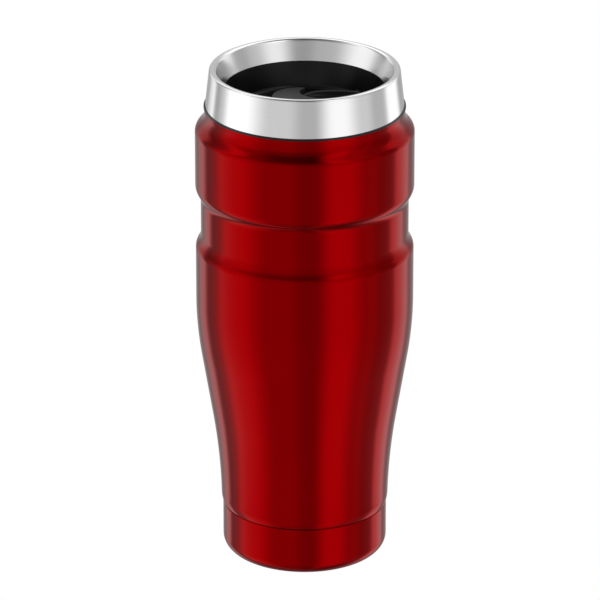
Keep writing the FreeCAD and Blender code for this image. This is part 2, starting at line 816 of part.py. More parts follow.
def rim_ring():
    """Drawn steel ring: tapered wall, rolled lip, and a cone that dips into the bowl."""
    return revolve("rim_ring", [
        ("ring_foot_radius", "ring_foot_height"),
        ("ring_bend_radius", "ring_bend_height"),
        ("ring_crown_outer", "total_height", "lip_outer_corner", LEFT),
        ("ring_crown_inner", "total_height"),
        ("cone_top_radius", "cone_top_height", "lip_inner_corner", LEFT),
        ("ring_cone_radius", "ring_cone_height"),
        ("cone_back_foot_radius", "ring_cone_height"),
        ("cone_back_top_radius", "cone_back_top_height"),
        ("ring_crown_inner", "total_height - ring_sheet", "lip_inner_corner - ring_sheet", RIGHT),
        ("ring_crown_outer", "total_height - ring_sheet"),
        ("ring_back_bend_radius", "ring_back_bend_height", "lip_outer_corner - ring_sheet", RIGHT),
        ("ring_back_foot_radius", "ring_foot_height"),
    ])


# ---------------------------------------------------------------------------------------------
# Gate: lever above the floor, rotor with its seals below, clamped by one screw
# ---------------------------------------------------------------------------------------------


def swivel_lever():
    """Round paddle, cut away round the opening's lip, on a shaft with an O-ring and a square key."""
    groove_low = "o_ring_height - o_ring_groove_half"
    groove_high = "o_ring_height + o_ring_groove_half"
    body = revolve("swivel_lever", [
        ("screw_hole_radius", "shaft_low"),
        ("shaft_radius", "shaft_low"),
        ("shaft_radius", groove_low),
        ("o_ring_groove_radius", groove_low),
        ("o_ring_groove_radius", groove_high),
        ("shaft_radius", groove_high),
        ("shaft_radius", "bowl_floor + weld_gap"),
        ("lever_hub_radius", "bowl_floor + weld_gap"),
        ("lever_hub_radius", "lever_high"),
        ("0", "lever_high"),
        ("0", "screw_hole_top"),
        ("screw_hole_radius", "screw_hole_top"),
    ])
    key = new_sketch(body, "key", "XY_Plane", "key_low", "lever_angle")
    draw_box(key, "0 - key_half", "key_half", "0 - key_half", "key_half")
    extrude(body, draw_circle(key, "screw_hole_radius"), "shaft_low - key_low")
    paddle = new_sketch(body, "paddle", "XY_Plane", "lever_low", "lever_angle")
    extrude(body, draw_circle(paddle, "paddle_radius", "paddle_reach"), "lever_high - lever_low")
    recess = new_sketch(body, "lip_recess", "XY_Plane", "lever_low")
    draw_oval(recess, "opening_lip_half_length + paddle_clearance",
              "opening_lip_half_width + paddle_clearance")
    cut(body, recess, "lever_high - lever_low")
    return body


def shaft_o_ring():
    """O-ring in the shaft's groove."""
    left = "o_ring_radius - o_ring_section"
    right = "o_ring_radius + o_ring_section"
    return revolve("shaft_o_ring", [
        (right, "o_ring_height", "o_ring_section", LEFT),
        (left, "o_ring_height", "o_ring_section", LEFT),
    ])


def gate_rotor():
    """Hub with a square hole and a recess below, the gate plate, the vent arm and the stop lug."""
    body = new_body("gate_rotor")
    hub = new_sketch(body, "hub", "XY_Plane", "rotor_recess_top", "lever_angle")
    near, far = "0 - key_half - key_clearance", "key_half + key_clearance"
    draw_circle(draw_box(hub, near, far, near, far), "rotor_hub_radius")
    extrude(body, hub, "rotor_high - rotor_recess_top")
    skirt = new_sketch(body, "hub_skirt", "XY_Plane", "rotor_low")
    draw_circle(draw_circle(skirt, "rotor_recess_radius"), "rotor_hub_radius")
    extrude(body, skirt, "rotor_recess_top - rotor_low")
    root = "rotor_recess_radius + 1"
    for name, turn, reach, half_angle in (
            ("gate_plate", "gate_open_angle", "gate_reach_outer", "gate_half_angle"),
            ("vent_arm", "vent_angle + gate_swing", "vent_arm_reach", "vent_arm_half_angle"),
            ("stop_arm", "stop_angle", "stop_reach_outer", "stop_half_angle")):
        sketch = new_sketch(body, name, "XY_Plane", "rotor_plate_low", turn)
        extrude(body, draw_sector(sketch, root, reach, half_angle), "rotor_high - rotor_plate_low")
    lug = new_sketch(body, "stop_lug", "XY_Plane", "rotor_high", "stop_angle")
    draw_sector(lug, "stop_reach_inner", "stop_reach_outer", "stop_half_angle")
    extrude(body, lug, "stop_lug_top - rotor_high")
    for name, turn in peg_turns():
        sketch = new_sketch(body, name + "_hole", "XY_Plane", "rotor_plate_low", turn)
        draw_circle(sketch, "peg_radius + weld_gap", "peg_reach")
        cut(body, sketch, "rotor_high - rotor_plate_low")
    stem = new_sketch(body, "vent_stem_hole", "XY_Plane", "rotor_plate_low", "vent_angle + gate_swing")
    cut(body, draw_circle(stem, "peg_radius + weld_gap", "vent_reach"), "rotor_high - rotor_plate_low")
    return body


def peg_turns():
    """Names and directions of the two pegs that hold the gate's seal."""
    return (("left_peg", "gate_open_angle + peg_angle"), ("right_peg", "gate_open_angle - peg_angle"))


def gate_seal():
    """Silicone pad on the gate plate, held by two pegs through it."""
    body = new_body("gate_seal")
    low = "rotor_high + weld_gap"
    pad = new_sketch(body, "pad", "XY_Plane", low, "gate_open_angle")
    draw_sector(pad, "seal_reach_inner", "gate_reach_outer - seal_inset", "gate_half_angle - seal_inset")
    extrude(body, pad, "floor_underside - seal_clearance - rotor_high - weld_gap")
    for name, turn in peg_turns():
        sketch = new_sketch(body, name, "XY_Plane", "peg_low", turn)
        extrude(body, draw_circle(sketch, "peg_radius", "peg_reach"), low + " - peg_low")
    return body


def vent_seal():
    """Silicone button on the vent arm, held by its stem."""
    body = new_body("vent_seal")
    turn = "vent_angle + gate_swing"
    low = "rotor_high + weld_gap"
    button = new_sketch(body, "button", "XY_Plane", low, turn)
    draw_circle(button, "vent_seal_radius", "vent_reach")
    extrude(body, button, "floor_underside - seal_clearance - rotor_high - weld_gap")
    stem = new_sketch(body, "stem", "XY_Plane", "peg_low", turn)
    extrude(body, draw_circle(stem, "peg_radius", "vent_reach"), low + " - peg_low")
    return body


def disc_spring():
    """Conical spring washer that presses the rotor up."""
    return revolve("disc_spring", [
        ("spring_inner_radius", "spring_low"),
        ("spring_outer_radius", "spring_low + spring_rise"),
        ("spring_outer_radius", "spring_low + spring_rise + spring_sheet"),
        ("spring_inner_radius", "spring_low + spring_sheet"),
    ])


def thrust_washer():
    """Flat washer under the spring."""
    section = ring_section("washer_bore", "washer_radius", "washer_low", "washer_high")
    return revolve("thrust_washer", section)


def rotor_screw():
    """Screw from below into the shaft, with a round socket in its head."""
    socket_top = "screw_head_low + socket_depth"
    return revolve("rotor_screw", [
        ("socket_radius", "screw_head_low"),
        ("screw_head_radius", "screw_head_low"),
        ("screw_head_radius", "screw_head_high"),
        ("screw_radius", "screw_head_high"),
        ("screw_radius", "screw_tip"),
        ("0", "screw_tip"),
        ("0", socket_top),
        ("socket_radius", socket_top),
    ])


# ---------------------------------------------------------------------------------------------
# Build, check and export
# ---------------------------------------------------------------------------------------------

SUB_PARTS = (
    outer_shell, inner_liner, base_cup, evacuation_seal, getter_pill, getter_clip, radiation_foil,
    lid_gasket, lid_plug, lid_body, rim_ring,
    swivel_lever, shaft_o_ring, gate_rotor, gate_seal, vent_seal, disc_spring, thrust_washer,
    rotor_screw,
)


def check_document(bodies):
    """Stop if any object failed, or if a sub-part isn't one valid solid."""
    for item in DOC.Objects:
        if "Invalid" in item.State or "Error" in item.State:
            raise RuntimeError("%s failed: %s" % (item.Label, item.State))
    for body in bodies:
        shape = body.Shape
        if shape.isNull() or not shape.isValid() or len(shape.Solids) != 1:
            raise RuntimeError(body.Label + " isn't one valid solid")


def main():
    """Build every sub-part and write one STEP file for each."""
    bodies = [build() for build in SUB_PARTS]
    DOC.recompute()
    check_document(bodies)
    os.makedirs("parts", exist_ok=True)
    for body in bodies:
        body.Shape.exportStep("parts/" + body.Label + ".step")
        print("%-16s %10.1f mm3" % (body.Label, body.Shape.Volume))


main()
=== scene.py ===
"""Looks of the insulated travel mug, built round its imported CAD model.

The visible turned pieces are lathed again at a finer pitch, with exact normals.  Lengths are in
millimetres until a mesh is made, and in metres in materials.  The pieces' main radii and heights
are read from the frame, and the rest is in SIZE.
"""

import json
import math

import bmesh
import bpy
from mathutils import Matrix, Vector

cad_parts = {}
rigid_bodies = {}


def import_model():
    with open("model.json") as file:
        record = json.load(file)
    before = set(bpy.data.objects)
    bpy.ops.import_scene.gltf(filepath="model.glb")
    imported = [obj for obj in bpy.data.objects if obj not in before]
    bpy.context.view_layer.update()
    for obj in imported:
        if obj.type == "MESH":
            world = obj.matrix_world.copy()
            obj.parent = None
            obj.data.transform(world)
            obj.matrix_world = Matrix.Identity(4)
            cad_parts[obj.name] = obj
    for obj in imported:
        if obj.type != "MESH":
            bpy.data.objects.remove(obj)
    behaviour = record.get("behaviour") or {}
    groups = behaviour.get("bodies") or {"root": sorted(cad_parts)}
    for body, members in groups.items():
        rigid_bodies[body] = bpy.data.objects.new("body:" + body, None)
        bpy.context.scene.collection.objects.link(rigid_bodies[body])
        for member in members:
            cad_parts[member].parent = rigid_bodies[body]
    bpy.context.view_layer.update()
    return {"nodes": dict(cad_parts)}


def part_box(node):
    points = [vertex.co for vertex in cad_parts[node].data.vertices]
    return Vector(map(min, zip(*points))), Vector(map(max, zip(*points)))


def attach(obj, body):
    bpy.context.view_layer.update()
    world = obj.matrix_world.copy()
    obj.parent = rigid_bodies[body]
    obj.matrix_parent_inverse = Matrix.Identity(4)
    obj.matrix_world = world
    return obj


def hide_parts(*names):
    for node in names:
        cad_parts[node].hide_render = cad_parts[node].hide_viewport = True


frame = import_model()

MM = 0.001
# Shorter lengths than this, in millimetres, are taken as none
TINY = 1e-4
# Keeps a divisor from being zero
GUARD = 1e-6
# Steps round the large pieces, the lever's hub and shaft, the small pieces, the vent hole, the
# lever's paddle, and the oval that notches the paddle
AROUND = 288
AROUND_LEVER = 144
AROUND_SMALL = 96
AROUND_VENT = 64
AROUND_PADDLE = 360
AROUND_NOTCH = 720
# Side that an arc bends to
LEFT, RIGHT = 1, -1

# ---------------------------------------------------------------------------------------------
# Sizes
# ---------------------------------------------------------------------------------------------


def low(node):
    """Height of the node's underside, in millimetres."""
    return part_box(node)[0].z / MM


def high(node):
    """Height of the node's top, in millimetres."""
    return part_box(node)[1].z / MM


def reach(node):
    """Largest radius of a turned node, in millimetres."""
    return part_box(node)[1].x / MM


# Pairs are a radius and a height, and threes a radius and two heights, unless a comment says else
SIZE = {
    # Vessel
    "shell_wall": 0.5,
    "waist": (33.23, 16.75),
    "flare_bend": 250.7,
    "belly": (43.0, 108.26),
    "swell_bend": 146.9,
    "foot_radius": 32.8,
    "curl_height": 24.0,
    "grip_shoulder": (128.9, 135.5),  # heights of its ends
    "grip_bulge": 4.0,
    "groove_radius": 40.94,
    "band_foot": (148.9, 155.6),  # heights of its ends
    "band_bulge": 6.0,
    "band_top": 177.3,
    "crease_bend": 3.3,
    "shoulder_slope": math.radians(42.0),
    "neck": (39.35, 185.3),
    "base_corner": 5.5,
    "base_top": 20.15,
    "base_wall": 0.5,
    "joggle": (0.1, 0.25),  # how far it starts below and ends above the base's top
    "joggle_bends": (0.35, 0.15),  # outside and inside
    "spigot_radius": 32.22,
    "standing_ring": 22.0,
    "ring_bend": 1.2,
    "panel": (20.4, 1.6),
    "panel_bend": 1.0,
    "dimple": (4.2, 2.4),
    "dimple_slope": 0.8,
    "dimple_bend": 0.6,
    "port_radius": 1.1,
    "bead_gap": 0.05,
    "bead_bend": 0.45,
    # Liner
    "liner_wall": 0.4,
    "mouth": (36.9, 176.6, 184.6),
    "collar": (38.4, 185.9),
    "collar_bend": 0.8,
    "seat": (35.75, 168.5, 175.7),
    "seat_bend": 0.5,
    "liner": (34.2, 104.0, 164.5),
    "liner_bend": 3.0,
    "tub": (28.8, 44.0),
    "tub_corner": 9.0,
    "tub_floor": 13.6,
    "taper_bend": 60.0,
    # Lid
    "flange": (187.2, 188.0),  # heights of its faces
    "bowl_floor": 184.6,
    "floor_underside": 182.6,
    "bowl_floor_radius": 28.7,
    "bowl_rim": (31.55, 195.0),
    "bowl_corner": 1.6,
    "bowl_wall": 1.5,
    "ring_wall": 1.6,
    "ring_wall_top": 197.0,
    "ring_gap": 0.1,
    "spigot": 30.65,
    "underside_land": 2.0,
    "sleeve": (6.5, 180.9),
    "sleeve_overlap": 0.1,
    "bore": 4.1,
    "shaft": 4.0,
    "shaft_end": 1.0,
    "plug_inner_radius": 32.8,
    "plug_radius": 35.4,
    "plug_plate": 185.0,
    "plug_collar": 30.7,
    "plug_bends": (0.5, 0.7),  # inside and outside
    "gasket_groove": (33.9, 171.8, 175.6),
    "gasket_gap": 0.05,
    "gasket_core": 34.75,
    "ribs": (0.5, 2.25),  # heights of their feet above the groove
    "rib": (0.3, 0.65, 0.95),  # heights of its face's ends and of its top above its foot
    "rib_bends": (0.15, 0.25),  # at its root and its face
    # Threads
    "lead": 9.0,
    "plug_thread": (177.8, 4.4, 36.6),  # start height, rise, crest radius
    "liner_thread": (179.2, 4.2, 35.75),  # the same for the liner
    "thread_half": (1.05, 0.45),  # half the height of a ridge at its root and its crest
    "thread_fade": 0.10,  # share of a ridge's length
    "thread_root": 0.2,
    "thread_edge": 0.16,
    # Rim ring
    "ring_sheet": 0.6,
    "ring_taper": math.radians(6.42),
    "lip_corners": (1.1, 1.75),  # outside and inside
    "ring_cone": (31.64, 195.15),
    "cone_angle": math.radians(23.2),
    # Drinking opening, vent and lever
    "opening": (12.0, 14.6),  # its centre, to the right of the axis and behind it
    "mouth_oval": (12.2, 5.15),  # half its length and half its width, as in the next two
    "throat_oval": (10.0, 4.1),
    "lip_oval": (13.6, 8.3),
    "lip_top": 186.3,
    "lip_side": 0.55,
    "lip_dip": 1.6,
    "mouth_edge": 0.3,
    "throat_top": 183.0,
    "height_field_radius": 29.6,
    "vent": (17.0, math.radians(239.0), 1.25),  # distance, direction, radius
    "lever_top": 188.1,
    "lever_low": 186.5,
    "hub_radius": 6.8,
    "hub_gap": 0.05,
    "paddle": (9.6, math.radians(105.0), 10.3),  # distance, direction, radius
    "paddle_gap": 0.4,
    "paddle_edge": 0.6,
    # Small rounding of corners that have no radius of their own
    "metal_edge": 0.1,
    "plastic_edge": 0.15,
    "shaft_edge": 0.2,
}
# Loops across the bowl's floor, how tightly its lip and its wall blend, and how far a cutter
# reaches past what it cuts
FLOOR_STEPS = 96
BLEND = 4
CUT_PAST = 1.0

# ---------------------------------------------------------------------------------------------
# Outlines
# ---------------------------------------------------------------------------------------------

# Longest step along an arc, the turn that makes a corner, and the share of its shorter neighbour
# that a rounded corner may take
STEP_ANGLE = math.radians(5.0)
STEP_LENGTH = 1.6
SHARP = math.radians(4.0)
NEIGHBOUR_SHARE = 0.45


def turned(vector, angle):
    """A flat vector turned anticlockwise."""
    c, s = math.cos(angle), math.sin(angle)
    return Vector((c * vector.x - s * vector.y, s * vector.x + c * vector.y))


def edge_points(start, end, bend):
    """Points and directions along one edge, which is straight or an arc of (radius, side)."""
    chord = end - start
    if not bend:
        way = chord.normalized()
        return [(start, way), (end, way)]
    radius, side = bend
    half = math.asin(min(1.0, chord.length / 2 / radius))
    steps = max(2, math.ceil(2 * half / STEP_ANGLE), math.ceil(2 * half * radius / STEP_LENGTH))
    way = turned(chord.normalized(), -side * half)
    centre = start + turned(way, side * math.pi / 2) * radius
    points = []
    for step in range(steps + 1):
        turn = side * 2 * half * step / steps
        points.append((centre + turned(start - centre, turn), turned(way, turn)))
    return points


def trace(corners, edge, closed=True):
    """Points and directions along an outline, walked with the material on its left.

    A corner is (across, up), rounded to the radius edge, (across, up, radius), or (across, up,
    radius, side) where it is reached along an arc.
    """
    spots = [Vector(corner[:2]) for corner in corners]
    first = 0 if closed else 1
    edges = []
    for index in range(first, len(spots)):
        bend = corners[index][2:] if len(corners[index]) == 4 else None
        edges.append(edge_points(spots[index - 1], spots[index], bend))
    for index in range(len(edges) if closed else len(edges) - 1):
        before, after = edges[index], edges[(index + 1) % len(edges)]
        way_in, way_out = before[-1][1], after[0][1]
        turn = math.atan2(way_in.cross(way_out), way_in.dot(way_out))
        if abs(turn) < SHARP:
            continue
        own = corners[index + first]
        if len(own) == 3:
            cut = own[2] * math.tan(abs(turn) / 2)
        else:
            spare = min((run[-1][0] - run[0][0]).length for run in (before, after))
            cut = min(edge * math.tan(abs(turn) / 2), NEIGHBOUR_SHARE * spare)
        if cut < TINY:
            continue
        corner = before[-1][0]
        begin, end = corner - way_in * cut, corner + way_out * cut
        bend = (cut / math.tan(abs(turn) / 2), LEFT if turn > 0 else RIGHT)
        before[-1] = (begin, way_in)
        after[0] = (end, way_out)
        before.extend(edge_points(begin, end, bend)[1:-1])
    points = []
    for run in edges:
        for point, way in run:
            if not points or (point - points[-1][0]).length > TINY:
                points.append((point, way))
    if closed and (points[0][0] - points[-1][0]).length < TINY:
        points.pop()
    return points


def sheet(face, wall):
    """Closed outline of sheet metal: its traced face, and its back at the wall's depth."""
    back = [(point + turned(way, math.pi / 2) * wall, -way) for point, way in reversed(face)]
    ends = []
    for point, way in (face[-1], back[-1]):
        if point.x < TINY:
            ends.append([])
            continue
        across = turned(way, math.pi / 2) * wall
        ends.append(edge_points(point, point + across, (wall / 2, LEFT))[1:-1])
    return face + ends[0] + back + ends[1]


def oval(half_length, half_width, count, centre):
    """Points of an ellipse, long along X."""
    turns = [math.tau * step / count for step in range(count)]
    return [Vector(centre) + Vector((half_length * math.cos(t), half_width * math.sin(t)))
            for t in turns]


# ---------------------------------------------------------------------------------------------
# Meshes
# ---------------------------------------------------------------------------------------------


def link(name, data):
    """Puts a mesh or a camera in the scene as a new object."""
    made = bpy.data.objects.new(name, data)
    bpy.context.scene.collection.objects.link(made)
    return made


def shade_smooth(mesh):
    """Shades all of a mesh's faces smooth."""
    mesh.polygons.foreach_set("use_smooth", [True] * len(mesh.polygons))


def make_object(name, vertices, faces, normals=None):
    """A smooth-shaded object from millimetres, with its own normals where they are known."""
    mesh = bpy.data.meshes.new(name)
    mesh.from_pydata([Vector(v) * MM for v in vertices], [], faces)
    shade_smooth(mesh)
    mesh.update()
    if normals:
        mesh.normals_split_custom_set_from_vertices([n.normalized() for n in normals])
    return link(name, mesh)


def lathe(name, profile, around=AROUND):
    """Turns a traced outline about Z.  An outline that starts and ends on the axis is closed."""
    vertices, normals, rings = [], [], []
    for point, way in profile:
        if point.x < TINY:
            rings.append([len(vertices)] * around)
            vertices.append((0, 0, point.y))
            normals.append(Vector((0, 0, -way.x)))
            continue
        rings.append(range(len(vertices), len(vertices) + around))
        for step in range(around):
            turn = math.tau * step / around
            c, s = math.cos(turn), math.sin(turn)
            vertices.append((point.x * c, point.x * s, point.y))
            normals.append(Vector((way.y * c, way.y * s, -way.x)))
    faces = []
    for index in range(len(rings)):
        ring, after = rings[index], rings[(index + 1) % len(rings)]
        for step in range(around):
            there = (step + 1) % around
            square = [ring[step], ring[there], after[there], after[step]]
            face = [vertex for place, vertex in enumerate(square) if vertex != square[place - 1]]
            if len(face) > 2:
                faces.append(face)
    return make_object(name, vertices, faces, normals)


def loft(name, loops):
    """Closed skin through loops of equal count, the last one joined to the first."""
    count = len(loops[0])
    vertices = [point for loop in loops for point in loop]
    faces = []
    for level in range(len(loops)):
        here, there = level * count, (level + 1) % len(loops) * count
        for step in range(count):
            after = (step + 1) % count
            faces.append((here + step, here + after, there + after, there + step))
    return make_object(name, vertices, faces)


def plate(name, outline, bottom, top):
    """Flat plate between two heights."""
    bm = bmesh.new()
    rings = []
    for height in (bottom, top):
        ring = [bm.verts.new((p.x * MM, p.y * MM, height * MM)) for p in outline]
        edges = [bm.edges.new((ring[step - 1], ring[step])) for step in range(len(ring))]
        bmesh.ops.triangle_fill(bm, use_beauty=True, use_dissolve=True, edges=edges)
        rings.append(ring)
    below, above = rings
    for here in range(len(outline)):
        there = (here + 1) % len(outline)
        bm.faces.new((below[here], below[there], above[there], above[here]))
    bmesh.ops.recalc_face_normals(bm, faces=bm.faces)
    mesh = bpy.data.meshes.new(name)
    bm.to_mesh(mesh)
    bm.free()
    return link(name, mesh)


def pin(name, centre, radius, bottom, top, around):
    """Plain round pin."""
    return plate(name, oval(radius, radius, around, centre), bottom, top)


def ease_edges(made, width, segments):
    """Rounds a piece's sharp edges, and keeps its flats flat."""
    bevel = made.modifiers.new("edges", "BEVEL")
    bevel.width = width * MM
    bevel.segments = segments
    bevel.limit_method = "ANGLE"
    bevel.angle_limit = math.radians(35)
    bevel.harden_normals = True
    shade_smooth(made.data)
    return made


def smooth_by_area(made):
    """Smooth shading that keeps large faces flat and sharp edges sharp."""
    shade_smooth(made.data)
    made.data.set_sharp_from_angle(angle=math.radians(40))
    weight = made.modifiers.new("normals", "WEIGHTED_NORMAL")
    weight.keep_sharp = True
    return made


def thread_ridge(name, wall, crest, start, rise, first_turn):
    """One ridge of a right-hand screw thread, which fades in and out at its ends."""
    steps = round(AROUND * rise / SIZE["lead"])
    root, tip = SIZE["thread_half"]
    vertices = []
    for step in range(steps + 1):
        share = step / steps
        fade = min(1.0, share / SIZE["thread_fade"], (1 - share) / SIZE["thread_fade"])
        top = wall + (crest - wall) * math.sin(fade * math.pi / 2)
        turn = first_turn + math.tau * rise * share / SIZE["lead"]
        middle = start + rise * share
        for r, z in ((wall, -root), (top, -tip), (top, tip), (wall, root)):
            vertices.append((r * math.cos(turn), r * math.sin(turn), middle + z))
    faces = [(0, 1, 2, 3), tuple(steps * 4 + k for k in (3, 2, 1, 0))]
    for here in range(0, steps * 4, 4):
        for k in range(4):
            side = (k + 1) % 4
            faces.append((here + k, here + 4 + k, here + 4 + side, here + side))
    ridge = make_object(name, vertices, faces)
    bm = bmesh.new()
    bm.from_mesh(ridge.data)
    bmesh.ops.recalc_face_normals(bm, faces=bm.faces)
    bm.to_mesh(ridge.data)
    bm.free()
    return ease_edges(ridge, SIZE["thread_edge"], segments=3)


def two_start_thread(name, wall, size):
    """Both ridges of a thread, from its start height, rise and crest radius."""
    start, rise, crest = size
    return [thread_ridge(name, wall, crest, start, rise, turn) for turn in (0.0, math.pi)]


def apply_modifiers(made):
    """Makes a piece's modifiers part of its mesh."""
    graph = bpy.context.evaluated_depsgraph_get()
    mesh = bpy.data.meshes.new_from_object(made.evaluated_get(graph), depsgraph=graph)
    made.modifiers.clear()
    made.data = mesh
    return made


def join(name, parts):
    """One object from several, with their normals kept."""
    bpy.context.view_layer.update()
    parts = [apply_modifiers(part) for part in parts]
    for item in bpy.context.scene.objects:
        item.select_set(item in parts)
    bpy.context.view_layer.objects.active = parts[0]
    bpy.ops.object.join()
    parts[0].name = name
    return parts[0]


def combine(made, operation, *others):
    """Adds closed pieces to another (UNION), or cuts them out of it (DIFFERENCE)."""
    for other in others:
        change = made.modifiers.new("combine", "BOOLEAN")
        change.operation = operation
        change.solver = "EXACT"
        change.object = other
    bpy.context.view_layer.update()
    apply_modifiers(made)
    for other in others:
        bpy.data.objects.remove(other)
    return made


# ---------------------------------------------------------------------------------------------
# Node helpers for materials and the studio
# ---------------------------------------------------------------------------------------------


class Nodes:
    """Short calls for making and linking the nodes of one material or world."""

    def __init__(self, owner):
        owner.use_nodes = True
        self.owner = owner
        self.tree = owner.node_tree

    def feed(self, socket, value):
        """Sets an input to a value or to another node's output."""
        if isinstance(value, bpy.types.NodeSocket):
            self.tree.links.new(value, socket)
        else:
            socket.default_value = value

    def add(self, kind, settings=None, **inputs):
        """A node with its settings, and inputs that are values or other nodes' outputs."""
        node = self.tree.nodes.new("ShaderNode" + kind)
        for name, value in (settings or {}).items():
            setattr(node, name, value)
        for name, value in inputs.items():
            self.feed(node.inputs[name.replace("_", " ")], value)
        return node

    def merge(self, kind, settings, *inputs):
        """Output of a node whose inputs are fed in order."""
        node = self.add(kind, settings)
        for socket, value in zip(node.inputs, inputs):
            self.feed(socket, value)
        return node.outputs[0]

    def math(self, operation, first, second=0.0):
        """Output of a math node."""
        return self.merge("Math", {"operation": operation}, first, second)

    def span(self, value, start, end, out_start, out_end, kind="LINEAR"):
        """A value carried from one range to another, without overshoot."""
        return self.add("MapRange", {"interpolation_type": kind}, Value=value, From_Min=start,
                        From_Max=end, To_Min=out_start, To_Max=out_end).outputs[0]

    def blend(self, share, first, second):
        """Mix of two colours."""
        node = self.add("Mix", {"data_type": "RGBA"}, Factor=share)
        colours = [socket for socket in node.inputs if socket.type == "RGBA"]
        for socket, value in zip(colours, (first, second)):
            self.feed(socket, value)
        return [socket for socket in node.outputs if socket.type == "RGBA"][0]

    def ramp(self, share, stops):
        """Grey level that eases through (place, level) stops, each from 0 to 1."""
        node = self.add("ValToRGB", Fac=share)
        node.color_ramp.interpolation = "EASE"
        elements = node.color_ramp.elements
        while len(elements) < len(stops):
            elements.new(0.5)
        for element, (place, level) in zip(elements, stops):
            element.position = place
            element.color = grey(level)
        return node.outputs["Color"]

    def place(self):
        """Coordinates on the piece, in metres."""
        return self.add("TexCoord").outputs["Object"]

    def radius(self):
        """Distance from the axis, in metres."""
        x, y, _ = self.add("SeparateXYZ", Vector=self.place()).outputs
        squares = self.math("ADD", self.math("MULTIPLY", x, x), self.math("MULTIPLY", y, y))
        return self.math("SQRT", squares)

    def noise(self, scale, detail=3.0, rough=0.5):
        """Value of a noise texture of so many cells per metre."""
        return self.add("TexNoise", Vector=self.place(), Scale=scale, Detail=detail,
                        Roughness=rough).outputs[0]

    def vary(self, noise, least, most):
        """A noise's usual range carried to another range."""
        return self.span(noise, 0.3, 0.7, least, most)

    def wear(self, start, end, most):
        """Share that grows on convex edges."""
        return self.span(self.add("NewGeometry").outputs["Pointiness"], start, end, 0.0, most)

    def turning_marks(self):
        """Fine streaks that run round the axis, with no seam.

        Across them the noise has so many cells per metre, and along them so many per radian.
        """
        along, across = 2.6, 9000.0
        x, y, z = self.add("SeparateXYZ", Vector=self.place()).outputs
        radius = self.radius()
        safe = self.math("MAXIMUM", radius, 10 * GUARD)
        spot = self.add("CombineXYZ", X=self.math("MULTIPLY", self.math("DIVIDE", x, safe), along),
                        Y=self.math("MULTIPLY", self.math("DIVIDE", y, safe), along),
                        Z=self.math("MULTIPLY", z, across))
        return self.add("TexNoise", {"noise_dimensions": "4D"}, Vector=spot.outputs[0],
                        W=self.math("MULTIPLY", radius, across), Scale=1.0, Detail=2.0,
                        Roughness=0.6).outputs[0]

    def bump(self, height, distance, after=None):
        """Bump of a height, in metres, on top of an earlier one."""
        node = self.add("Bump", Distance=distance, Height=height)
        if after:
            self.feed(node.inputs["Normal"], after)
        return node.outputs["Normal"]

    def finish(self, **inputs):
        """Feeds the shader, and returns the material."""
        shader = self.tree.nodes["Principled BSDF"]
        for name, value in inputs.items():
            self.feed(shader.inputs[name.replace("_", " ")], value)
        return self.owner


def material_nodes(name):
    """The nodes of a new material."""
    return Nodes(bpy.data.materials.new(name))


def grey(value):
    """A neutral colour."""
    return (value, value, value, 1.0)


def scaled(colour, factor, lift=0.0):
    """A colour made lighter or darker, with its alpha."""
    return tuple(min(1.0, channel * factor + lift) for channel in colour) + (1.0,)


# ---------------------------------------------------------------------------------------------
# Materials
# ---------------------------------------------------------------------------------------------


def red_lacquer():
    """Translucent red lacquer over satin metal, with a fine flake and a faint orange peel."""
    n = material_nodes("red_lacquer")
    flake = n.noise(42000.0, 1.0)
    drift = n.noise(38.0, 3.0, 0.55)
    colour = n.blend(n.vary(flake, 0.0, 1.0), (0.21, 0.0, 0.0006, 1), (0.25, 0.0, 0.001, 1))
    colour = n.blend(n.vary(drift, 0.0, 0.35), colour, (0.215, 0.0, 0.0006, 1))
    rough = n.math("ADD", n.vary(drift, 0.05, 0.07), n.vary(flake, 0.0, 0.02))
    peel = n.bump(n.noise(900.0, 2.0), 1.6e-6)
    return n.finish(Base_Color=colour, Metallic=1.0, Roughness=rough,
                    Normal=n.bump(flake, 3e-7, peel), Specular_Tint=(0.88, 0.8, 0.8, 1))


# Width over which a satin finish fades out, in millimetres
SATIN_FADE = 0.6


def turned_steel(name, tone, rough, marks, spread, satin=None):
    """Stainless steel polished on a lathe, with fine marks round the axis and a few smudges.

    Satin is (radius, added roughness) for a coarser finish nearer the axis than that radius.
    """
    n = material_nodes(name)
    streak = n.turning_marks()
    smudge = n.noise(55.0, 4.0, 0.6)
    colour = n.blend(n.vary(streak, 0.0, 1.0), grey(tone * 0.98), grey(tone * 1.02))
    colour = n.blend(n.wear(0.505, 0.56, 0.5), colour, grey(min(0.9, tone * 1.2)))
    total = n.math("ADD", n.vary(smudge, rough - 0.025, rough + 0.035), n.vary(streak, -0.02, 0.02))
    if satin:
        edge, added = satin[0] * MM, satin[1]
        total = n.math("ADD", total, n.span(n.radius(), edge - SATIN_FADE * MM, edge, added, 0.0))
    tangent = n.add("Tangent", {"direction_type": "RADIAL", "axis": "Z"}).outputs[0]
    return n.finish(Base_Color=colour, Metallic=1.0, Roughness=total, Normal=n.bump(streak, marks),
                    Anisotropic=spread, Tangent=tangent)


def moulded_plastic(name, tone, rough, grain, gloss):
    """Moulded black plastic: fine grain, flow variation, and edges rubbed a little brighter."""
    n = material_nodes(name)
    flow = n.noise(70.0, 3.0, 0.55)
    rubbed = n.math("MULTIPLY", n.wear(0.51, 0.58, 1.0), n.span(flow, 0.35, 0.65, 0.3, 1.0))
    colour = n.blend(flow, grey(tone * 0.85), grey(tone * 1.15))
    colour = n.blend(n.math("MULTIPLY", rubbed, 0.5), colour, grey(tone * 2.2))
    total = n.math("ADD", n.vary(flow, rough - 0.04, rough + 0.04), n.math("MULTIPLY", rubbed, -0.06))
    return n.finish(Base_Color=colour, Roughness=total, Specular_IOR_Level=gloss,
                    Normal=n.bump(n.noise(5200.0, 2.0, 0.6), grain))


